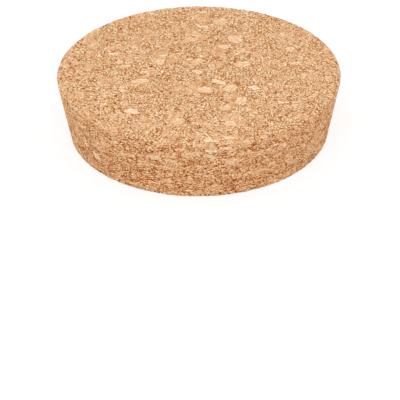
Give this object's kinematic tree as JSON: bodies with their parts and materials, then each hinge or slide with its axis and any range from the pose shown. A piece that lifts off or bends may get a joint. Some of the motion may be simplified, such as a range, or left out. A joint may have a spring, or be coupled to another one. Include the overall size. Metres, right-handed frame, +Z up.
{
  "type": "cork stopper",
  "caption": "Wide, shallow tapered plug of pressed cork granules with eased rims, pushed into the mouth of a jar or vessel to close it.",
  "frame": {"origin": "centre of the narrow bottom face, on the surface that the stopper stands on", "axes": "+Z up along the axis of the taper, towards the wide top face; X and Y are free, because the stopper is round"},
  "size_m": [0.0868, 0.0868, 0.02],
  "materials": {
    "cork": "sanded pressed cork, matt"
  },
  "bodies": {
    "root": {"cork_stopper": "cork"}
  },
  "joints": []
}
